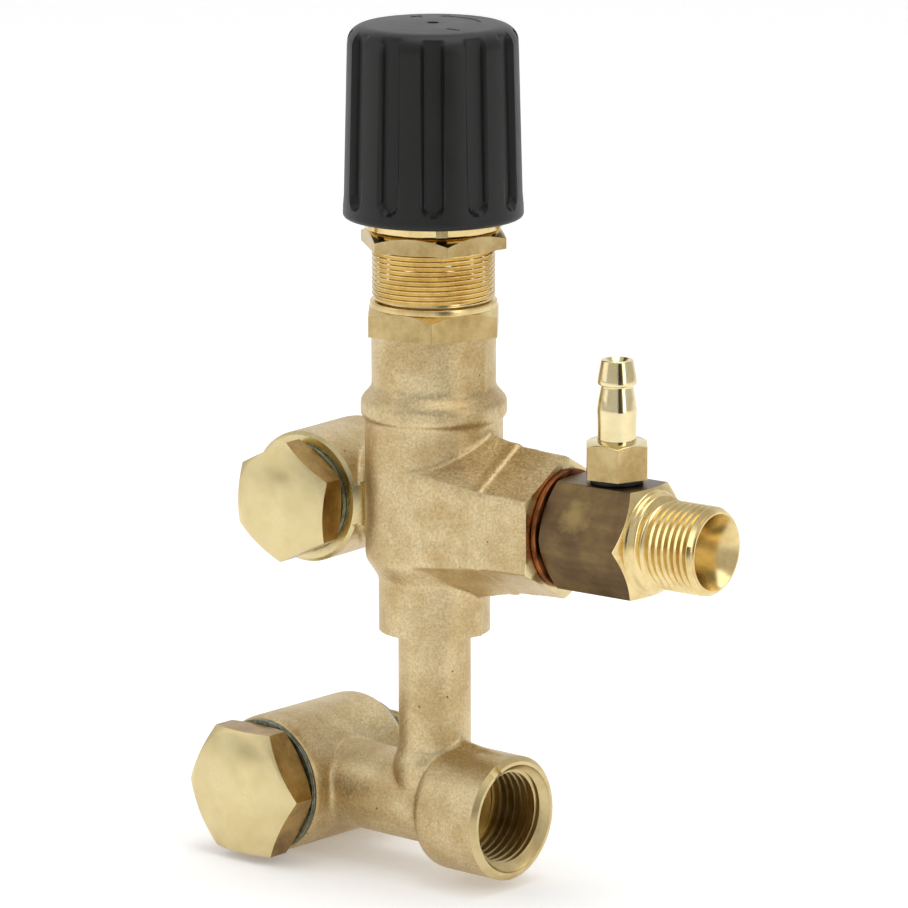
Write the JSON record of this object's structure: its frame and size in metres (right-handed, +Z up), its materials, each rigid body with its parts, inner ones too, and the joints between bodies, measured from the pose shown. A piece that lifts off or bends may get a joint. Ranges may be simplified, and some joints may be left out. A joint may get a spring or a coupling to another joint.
{
  "type": "pressure reducing valve",
  "caption": "Brass pressure regulating valve with screw-down plastic knob, two banjo mounting bolts, telescopic inlet pipe and detergent injector outlet.",
  "frame": {"origin": "centre of the upper pump-side sealing face, on the upper banjo bolt's axis", "axes": "+Z up along the knob's axis direction, +X towards the outlet, +Y towards the pump"},
  "size_m": [0.1214, 0.0505, 0.1759],
  "materials": {
    "cast_brass": "satin",
    "turned_brass": "polished",
    "dark_brass": "satin",
    "black_plastic": "matte",
    "steel": "satin",
    "copper": "satin",
    "rubber": "matte",
    "white_plastic": "matte"
  },
  "bodies": {
    "valve": {"valve_body": "cast_brass", "upper_banjo_bolt": "turned_brass", "upper_bolt_washer": "steel", "upper_pump_washer": "steel", "bonnet": "turned_brass", "bonnet_oring": "rubber", "main_spring": "steel", "bypass_seat": "steel", "bypass_seat_oring": "rubber", "check_seat": "steel", "check_spring": "steel", "outlet_washer": "copper", "venturi_body": "dark_brass", "venturi_nozzle": "steel", "suction_spring": "steel", "hose_barb": "turned_brass", "barb_washer": "rubber"},
    "stop_nut": {"stop_nut": "turned_brass"},
    "spring_seat": {"spring_seat": "steel"},
    "knob": {"knob": "black_plastic", "knob_insert": "turned_brass"},
    "piston": {"piston": "steel", "piston_oring": "rubber", "piston_backup_ring": "white_plastic", "spring_guide": "steel", "bypass_ball": "steel"},
    "check_poppet": {"check_poppet": "white_plastic"},
    "suction_ball": {"suction_ball": "steel"},
    "tube_seal": {"tube_oring": "rubber"},
    "inlet_manifold": {"inlet_manifold": "cast_brass", "lower_banjo_bolt": "turned_brass", "lower_bolt_washer": "steel", "lower_pump_washer": "steel"}
  },
  "joints": [
    {"name": "seat_travel", "type": "slide", "parent": "valve", "child": "spring_seat", "axis": [0, 0, 1], "range_m": [0, 0.008], "deforming": ["main_spring"]},
    {"name": "knob_turn", "type": "hinge", "parent": "spring_seat", "child": "knob", "pos_m": [0.0265, -0.0135, 0.06], "axis": [0, 0, 1], "range_deg": [0, 2880]},
    {"name": "stop_nut_turn", "type": "hinge", "parent": "valve", "child": "stop_nut", "pos_m": [0.0265, -0.0135, 0.0559], "axis": [0, 0, 1], "range_deg": [-180, 180]},
    {"name": "piston_lift", "type": "slide", "parent": "valve", "child": "piston", "axis": [0, 0, 1], "range_m": [0, 0.002], "stiffness_N_per_m": 3000, "springref_m": -0.003},
    {"name": "check_lift", "type": "slide", "parent": "valve", "child": "check_poppet", "axis": [1, 0, 0], "range_m": [0, 0.0025], "stiffness_N_per_m": 300, "springref_m": -0.003, "deforming": ["check_spring"]},
    {"name": "suction_ball_lift", "type": "slide", "parent": "valve", "child": "suction_ball", "axis": [0, 0, -1], "range_m": [0, 0.0007], "stiffness_N_per_m": 200, "springref_m": -0.001, "deforming": ["suction_spring"]},
    {"name": "manifold_slide", "type": "slide", "parent": "valve", "child": "tube_seal", "axis": [0, 0, 1], "range_m": [-0.0035, 0.0025]},
    {"name": "manifold_swivel", "type": "hinge", "parent": "tube_seal", "child": "inlet_manifold", "pos_m": [0.0265, -0.0135, -0.02], "axis": [0, 0, 1], "continuous": true}
  ],
  "couplings": [
    {"joint": "knob_turn", "follows": "seat_travel", "rad_per_m": 6283.2}
  ]
}
